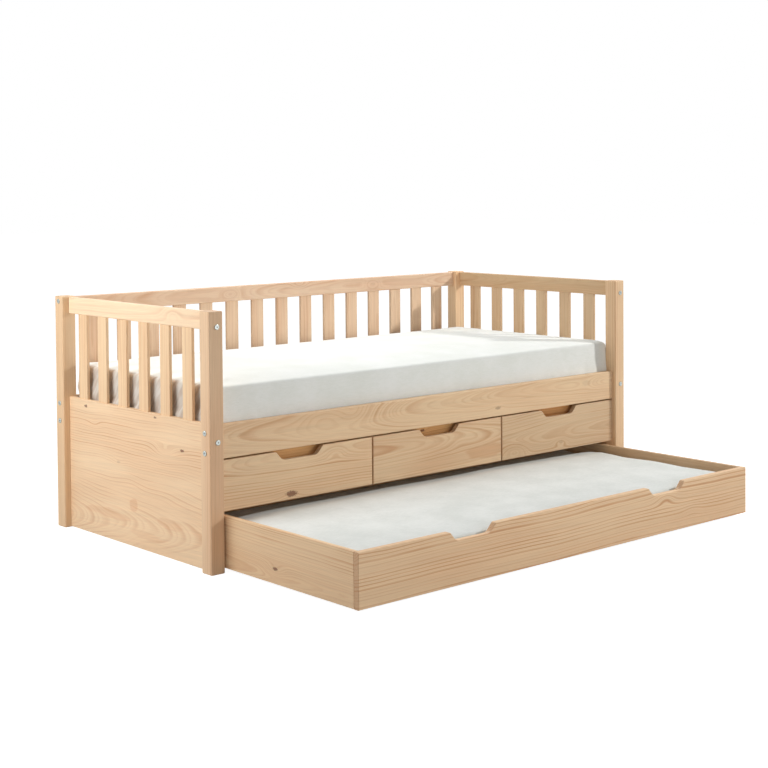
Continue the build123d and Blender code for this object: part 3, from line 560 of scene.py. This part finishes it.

# Drawers
# The drawer fronts get painted shade, more on the right-hand front
pine_node("left_drawer_front", "x", "y", 51.0, pith=(0.06, 0.05), tilt=0.03, ring=0.0085, wobble=0.016,
          contrast=1.1, heart=0.3, light=0.91, ends=0.15,
          knots=((-0.699, 0.2195, 0.0135, 0.022, 0.012, 0.85), (-0.50, 0.335, 0.01, 0.02, 0.010, 0.0)))
pine_node("middle_drawer_front", "x", "y", 61.0, pith=(0.03, 0.05), tilt=-0.05, ring=0.0095, wobble=0.013,
          ripple=0.007, contrast=0.8, heart=0.7, light=0.85, ends=0.15,
          knots=((0.10, 0.30, 0.01, 0.024, 0.006, 0.0),), smokes=((0.2655, 0.2497, 0.13, 0.028, 0.8),))
pine_node("right_drawer_front", "x", "y", 71.0, pith=(-0.02, 0.06), tilt=0.05, ring=0.009, wobble=0.022,
          ripple=0.012, contrast=1.05, heart=0.4, light=0.77, ends=0.15,
          knots=((0.404, 0.2263, 0.01, 0.026, 0.024, 0.0), (0.671, 0.2329, 0.008, 0.018, 0.016, 0.3)))
INNER_FRONT_KNOTS = {"middle": ((-0.0496, 0.3572, 0.006, 0.012, 0.008, 0.9),)}
for side, seed in (("left", 51.0), ("middle", 61.0), ("right", 71.0)):
    drawer = side + "_drawer_"
    pine_node(drawer + "sides", "y", "x", seed + 1, ring=0.007)
    # Inner fronts, seen through the grips: a deep warm brown tint, painted shade warmed by light bounced off
    # wood
    pine_node(drawer + "inner_front", "x", "y", seed + 2, contrast=1.2, heart=1.0, light=1.02,
              tone=(1.05, 0.86, 0.58, 1.0), knots=INNER_FRONT_KNOTS.get(side, ()))
    pine_node(drawer + "back", "x", "y", seed + 3, ring=0.007)
    pine_node(drawer + "floor", "x", "z", seed + 4, ring=0.009)
    pine_node(drawer + "dowels", "y", "z", seed + 5, ring=0.003)

# Trundle
# The trundle's boards get painted shade, most on the inner face of its right side
pine_node("trundle_front", "x", "y", 81.0, pith=(0.11, 0.03), ring=0.0105, calm=0.55, contrast=1.3,
          light=0.96, ends=0.45,
          knots=((0.4644, 0.1411, 0.01, 0.026, 0.022, 0.0), (0.62, 0.075, 0.01, 0.02, 0.010, 0.0)))
pine_node("trundle_left_side", "y", "x", 82.0, pith=(-0.06, 0.05), tilt=0.03, ring=0.0085, contrast=1.05,
          light=0.96, knots=((-0.431, 0.0641, 0.007, 0.022, 0.010, 0.9),))
pine_node("trundle_right_side", "y", "x", 83.0, pith=(0.02, 0.06), tilt=0.02, ring=0.008, wobble=0.015,
          light=0.74)
pine_node("trundle_back", "x", "y", 84.0, ring=0.008)
pine_node("trundle_base_cleats", "x", "z", 85.0)
pine_node("trundle_centre_bearer", "x", "z", 86.0)
pine_node("trundle_base_slats", "y", "z", 87.0, ring=0.007,
          pitch=board_row("trundle_base_slats", "x", 0.08, 13))
pine_node("trundle_dowels", "y", "z", 88.0, ring=0.003)
pine_node("end_board_dowels", "y", "z", 89.0, ring=0.003)

# Metal and plastic
# Dark grey of the painted shade in the bolts' sockets
NOOK_SHADE = linear(52, 58, 58)
NOOK_REACH = 0.004
ZINC_ROUGH = 0.24


def metal(name, colour, scratch, nook_shade=0.0):
    """Zinc-plated steel; the last argument is the share of painted shade, dark grey, in its nooks."""
    material, g = new_material(name)
    coordinates = g.place()
    cloud = g.noise(coordinates, 240.0, 3.0, 0.6)
    grit = g.noise(coordinates, 1500.0, 2.0, 0.6)
    darker = tuple(c * 0.82 for c in colour[:3]) + (1.0,)
    tint = g.blend(g.ramp(cloud, 0.3, 0.7), colour, darker)
    if nook_shade:
        # Painted shade in nooks: darker where ambient occlusion finds close surfaces
        nook = g.node("ShaderNodeAmbientOcclusion", samples=8)
        nook.inputs["Distance"].default_value = NOOK_REACH
        tint = g.blend(g.mul(g.ramp(nook.outputs["AO"], 0.3, 0.8, 1.0, 0.0), nook_shade), tint, NOOK_SHADE)
    g.surface(tint, g.ramp(cloud, 0.3, 0.7, ZINC_ROUGH, ZINC_ROUGH + 0.14, smooth=False),
              g.bump(grit, scratch, 0.0002), Metallic=1.0)
    return material


zinc = metal("zinc", linear(214, 220, 216), 0.25)
# The bolt heads get painted shade in their sockets
dress([nodes["frame_bolts"]], metal("bolt_zinc", linear(182, 188, 185), 0.5, 1.0))
dress([nodes[n] for n in ("frame_barrel_nuts", "base_slat_screws", "trundle_slat_screws", "castor_brackets",
                          "castor_axles")], zinc)

material, g = new_material("castor_plastic")
coordinates = g.place()
cloud = g.noise(coordinates, 60.0, 2.0, 0.5)
grit = g.noise(coordinates, 900.0, 2.0, 0.6)
g.surface(g.blend(cloud, linear(34, 34, 36), linear(52, 52, 54)),
          g.ramp(cloud, 0.3, 0.7, 0.45, 0.6, smooth=False), g.bump(grit, 0.1, 0.0003))
dress([nodes[n] for n in nodes if n.startswith("castor_wheel")], material)

# Mattresses: a soft body for each, swelled by a cloth simulation, then creased by given shapes
CLOTH_FRAMES = 20
UNDERSIDE_HOLD = 0.03
PRESSURE = 4.0
LOOSENESS = 0.012
OVERHANG = 0.001


def rounded(x, y, half_x, half_y, corner):
    """Moves a grid point of a rectangle on to the same rectangle with rounded corners."""
    core_x = max(-(half_x - corner), min(half_x - corner, x))
    core_y = max(-(half_y - corner), min(half_y - corner, y))
    dx, dy = x - core_x, y - core_y
    length = math.hypot(dx, dy)
    if length < TINY or abs(dx) < TINY or abs(dy) < TINY:
        return x, y
    share = max(abs(dx), abs(dy)) / length
    return core_x + dx * share, core_y + dy * share


def even_body(name, low, high, corner, edge, cell):
    """A closed block in even faces, with rounded corners and a small round along its rims."""
    half_x, half_y, height = (high[0] - low[0]) / 2, (high[1] - low[1]) / 2, high[2] - low[2]
    middle = ((high[0] + low[0]) / 2, (high[1] + low[1]) / 2)
    across = round(2 * half_x / cell)
    deep = round(2 * half_y / cell)
    levels = max(4, round((height - 2 * edge) / cell))
    # Rings of the wall from the underside to the top: how far in, and how high
    rings = [(edge, 0.0), (edge * 0.3, edge * 0.3)]
    rings += [(0.0, edge + (height - 2 * edge) * step / levels) for step in range(levels + 1)]
    rings += [(edge * 0.3, height - edge * 0.3), (edge, height)]
    bm = bmesh.new()

    def place(i, j, inset, z):
        x, y = rounded(
            (2 * i / across - 1) * (half_x - inset), (2 * j / deep - 1) * (half_y - inset),
            half_x - inset, half_y - inset, corner - inset,
        )
        return bm.verts.new((middle[0] + x, middle[1] + y, low[2] + z))

    loop = [(i, 0) for i in range(across)] + [(across, j) for j in range(deep)]
    loop += [(i, deep) for i in range(across, 0, -1)] + [(0, j) for j in range(deep, 0, -1)]
    walls = [[place(i, j, inset, z) for i, j in loop] for inset, z in rings]
    for below, above in zip(walls, walls[1:]):
        for k in range(len(loop)):
            n = (k + 1) % len(loop)
            bm.faces.new((below[k], below[n], above[n], above[k]))
    for wall, z, turned in ((walls[0], 0.0, True), (walls[-1], height, False)):
        known = dict(zip(loop, wall))
        grid = {
            (i, j): known[(i, j)] if (i, j) in known else place(i, j, edge, z)
            for i in range(across + 1) for j in range(deep + 1)
        }
        for i in range(across):
            for j in range(deep):
                face = (grid[(i, j)], grid[(i + 1, j)], grid[(i + 1, j + 1)], grid[(i, j + 1)])
                bm.faces.new(tuple(reversed(face)) if turned else face)
    mesh = bpy.data.meshes.new(name)
    bm.to_mesh(mesh)
    bm.free()
    body = bpy.data.objects.new(name, mesh)
    scene.collection.objects.link(body)
    return body


def settle(body):
    """Turns what the modifiers make into the piece's own mesh."""
    graph = bpy.context.evaluated_depsgraph_get()
    made = bpy.data.meshes.new_from_object(body.evaluated_get(graph), depsgraph=graph)
    body.modifiers.clear()
    old = body.data
    body.data = made
    bpy.data.meshes.remove(old)


def points(body):
    spots = np.empty(len(body.data.vertices) * 3, dtype=np.float32)
    body.data.vertices.foreach_get("co", spots)
    return spots.reshape(-1, 3).astype(np.float64)


def move(body, spots):
    body.data.vertices.foreach_set("co", spots.astype(np.float32).ravel())
    body.data.update()


def swell(body, floor_height, cap):
    """Blows the cover up a little, and keeps each point within cap of where it was."""
    before = points(body)
    group = body.vertex_groups.new(name="hold")
    # The underside is held, because it lies flat on the slats
    held = np.clip((floor_height + UNDERSIDE_HOLD - before[:, 2]) / UNDERSIDE_HOLD, 0.0, 1.0)
    for index, weight in enumerate(held):
        if weight > 0.0:
            group.add([index], float(weight), "REPLACE")
    cloth = body.modifiers.new("cover", "CLOTH")
    settings = cloth.settings
    settings.quality = 4
    settings.mass = 0.02
    settings.tension_stiffness = 12.0
    settings.compression_stiffness = 12.0
    settings.shear_stiffness = 6.0
    settings.bending_stiffness = 0.4
    settings.use_pressure = True
    settings.uniform_pressure_force = PRESSURE
    settings.shrink_min = -LOOSENESS
    settings.effector_weights.gravity = 0.0
    settings.vertex_group_mass = "hold"
    cloth.point_cache.frame_start = 1
    cloth.point_cache.frame_end = CLOTH_FRAMES
    for number in range(1, CLOTH_FRAMES + 1):
        scene.frame_set(number)
    settle(body)
    scene.frame_set(1)
    push = points(body) - before
    length = np.linalg.norm(push, axis=1, keepdims=True)
    push = push * np.where(length > TINY, cap * np.tanh(length / cap) / np.maximum(length, TINY), 0.0)
    body.vertex_groups.clear()
    move(body, before + push)


def mattress(name, node, low, high, corner, edge, crown, cell, cap, shape, fabric):
    """A soft mattress in its solid's box; crown is how much higher its middle is than its rims."""
    rim = high[2] - crown
    body = even_body(name, low, (high[0], high[1], rim), corner, edge, cell)
    spots = points(body)
    middle_x = (low[0] + high[0]) / 2
    middle_y = (low[1] + high[1]) / 2
    along = np.abs(spots[:, 0] - middle_x) / (high[0] - middle_x)
    across = np.abs(spots[:, 1] - middle_y) / (high[1] - middle_y)
    rise = np.clip((spots[:, 2] - low[2]) / (rim - low[2]), 0.0, 1.0)
    spots[:, 2] += crown * rise * (1.0 - np.clip(along, 0, 1) ** 6) * (1.0 - np.clip(across, 0, 1) ** 3)
    move(body, spots)
    swell(body, low[2], cap)
    smooth = body.modifiers.new("fine", "SUBSURF")
    smooth.levels = 1
    settle(body)
    spots = shape(points(body), low, high)
    for axis in (0, 1):
        spots[:, axis] = np.clip(spots[:, axis], low[axis] - OVERHANG, high[axis] + OVERHANG)
    spots[:, 2] = np.maximum(spots[:, 2], low[2])
    move(body, spots)
    body.data.polygons.foreach_set("use_smooth", [True] * len(body.data.polygons))
    dress([body], fabric)
    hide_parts(node)


def waves(spots, x_pace, y_pace, seed):
    """Soft irregular waves, from -1 to 1, for the lie of the cover."""
    count = 7
    rng = np.random.default_rng(seed)
    total = np.zeros(len(spots))
    for _ in range(count):
        kx = x_pace * rng.uniform(0.4, 1.6) * rng.choice((-1.0, 1.0))
        ky = y_pace * rng.uniform(0.4, 1.6)
        kz = rng.uniform(0.4, 1.0) * 9.0
        total += np.sin(kx * spots[:, 0] + ky * spots[:, 1] + kz * spots[:, 2] + rng.uniform(0, 6.28))
    return total / count


def ease(value, low, high):
    share = np.clip((value - low) / (high - low), 0.0, 1.0)
    return share * share * (3.0 - 2.0 * share)


THREAD = 2 * math.pi / 0.0018


def cover(name, dull, bright, shaded=None, shaded_end_at=0.0):
    """A plain woven cover: fine threads, thicker yarns here and there, and small creases.

    With a shaded colour, the end at this x gets painted shade in that colour, patchy and deepest in the
    troughs of its diagonal folds, which are also bumps.
    """
    material, g = new_material(name)
    coordinates = g.place()
    cx, cy, cz = g.split(coordinates)
    cloud = g.noise(coordinates, 7.0, 3.0, 0.55)
    slub = g.noise(g.xyz(g.mul(cx, 60.0), g.mul(cy, 240.0), g.mul(cz, 240.0)), 1.0, 3.0, 0.6)
    warp = g.math("SINE", g.mul(g.add(cx, cz), THREAD))
    weft = g.math("SINE", g.mul(g.add(cy, cz), THREAD))
    mixed = g.add(g.mul(cloud, 0.6), g.mul(slub, 0.4))
    colour = g.blend(g.ramp(mixed, 0.3, 0.7), dull, bright)
    creases = g.noise(g.xyz(g.mul(cx, 9.0), g.mul(cy, 12.0), g.mul(cz, 16.0)), 1.0, 4.0, 0.6, distortion=0.6)
    if shaded is not None:
        # Painted shade on the end: the shaded colour, patchy, deepest in the fold troughs
        mottled = g.noise(g.xyz(cx, cy, g.mul(cz, 0.6)), 30.0, 3.0, 0.6)
        shaded_end = g.ramp(g.add(cx, g.mul(mottled, 0.01)), shaded_end_at + 0.012, shaded_end_at + 0.03, 1.0, 0.0)
        run = g.add(g.mul(cy, 1.5), cz)
        beside = g.sub(g.mul(cz, 1.5), cy)
        folds = g.noise(g.xyz(g.mul(run, 42.0), g.mul(beside, 7.0), 0.2), 1.0, 1.5, 0.5)
        fold_shade = g.mul(shaded_end, g.ramp(folds, 0.35, 0.65, 0.62, 1.0))
        colour = g.blend(g.mul(fold_shade, g.ramp(mottled, 0.3, 0.7, 0.85, 1.0)), colour, shaded)
        creases = g.sub(creases, g.mul(shaded_end, folds))
    weave = g.add(g.mul(g.mul(warp, weft), 0.5), slub)
    g.surface(colour, g.ramp(slub, 0.3, 0.7, 0.82, 0.95, smooth=False),
              g.bump(weave, 0.2, 0.0004, below=g.bump(creases, 0.35, 0.006)),
              Specular_IOR_Level=0.2, Sheen_Weight=0.15, Sheen_Roughness=0.6)
    return material


def shape_upper(spots, low, high):
    """The lie of the cover: soft waves on top, diagonal creases low on the left end, a rolled right end."""
    roll = 0.042
    crease = 0.0045
    top = ease(spots[:, 2], high[2] - 0.05, high[2] - 0.01)
    spots[:, 2] += 0.0015 * top * waves(spots, 9.0, 14.0, 5)
    edge = ease(spots[:, 0], low[0] + 0.05, low[0])
    slant = (spots[:, 1] - low[1]) * 34.0 + (spots[:, 2] - low[2]) * 60.0
    lower = ease(spots[:, 2], low[2] + 0.14, low[2] + 0.04)
    beyond = np.clip(spots[:, 0] - (high[0] - roll), 0.0, roll)
    rise = np.clip((spots[:, 2] - low[2]) / (high[2] - low[2]), 0.0, 1.0)
    spots[:, 2] -= (roll - np.sqrt(roll * roll - beyond * beyond)) * rise
    folds = np.sin(slant + 1.3 * np.sin(spots[:, 1] * 17.0)) + 0.4 * np.sin(2.3 * slant)
    spots[:, 0] += edge * lower * crease * folds
    return spots


def shape_trundle(spots, low, high):
    """A softer, flatter pad: wavy edges, lower at the right, and sunk at the back."""
    rim_drop, back_drop, edge_wave = 0.009, 0.016, 0.003
    top = ease(spots[:, 2], low[2] + 0.02, high[2] - 0.02)
    spots[:, 2] += 0.0025 * top * waves(spots, 8.0, 12.0, 9)
    beside = ease(spots[:, 0], high[0] - 0.12, high[0])
    behind = ease(spots[:, 1], -0.24, -0.14)
    sunk = ease(spots[:, 1] + 0.004 * np.sin(spots[:, 0] * 9.0), -0.122, -0.09)
    spots[:, 2] -= top * (rim_drop * np.maximum(beside, behind) + back_drop * sunk)
    spots[:, 2] += top * edge_wave * beside * np.sin(spots[:, 1] * 24.0)
    return spots


# The upper cover's left end gets painted shade in a pinkish grey
low, high = (tuple(corner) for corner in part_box("upper_mattress"))
mattress("upper_mattress_cover", "upper_mattress", low, high, corner=0.022, edge=0.008, crown=0.011,
         cell=0.016, cap=0.005, shape=shape_upper,
         fabric=cover("mattress_cover", linear(233, 236, 230), linear(243, 245, 242),
                      shaded=linear(196, 180, 166), shaded_end_at=low[0]))
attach(bpy.data.objects["upper_mattress_cover"], "bed_frame")

low, high = (tuple(corner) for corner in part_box("trundle_mattress"))
mattress("trundle_mattress_cover", "trundle_mattress", low, high, corner=0.045, edge=0.016, crown=0.012,
         cell=0.016, cap=0.006, shape=shape_trundle,
         fabric=cover("pad_cover", linear(215, 219, 215), linear(232, 235, 232)))
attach(bpy.data.objects["trundle_mattress_cover"], "trundle")
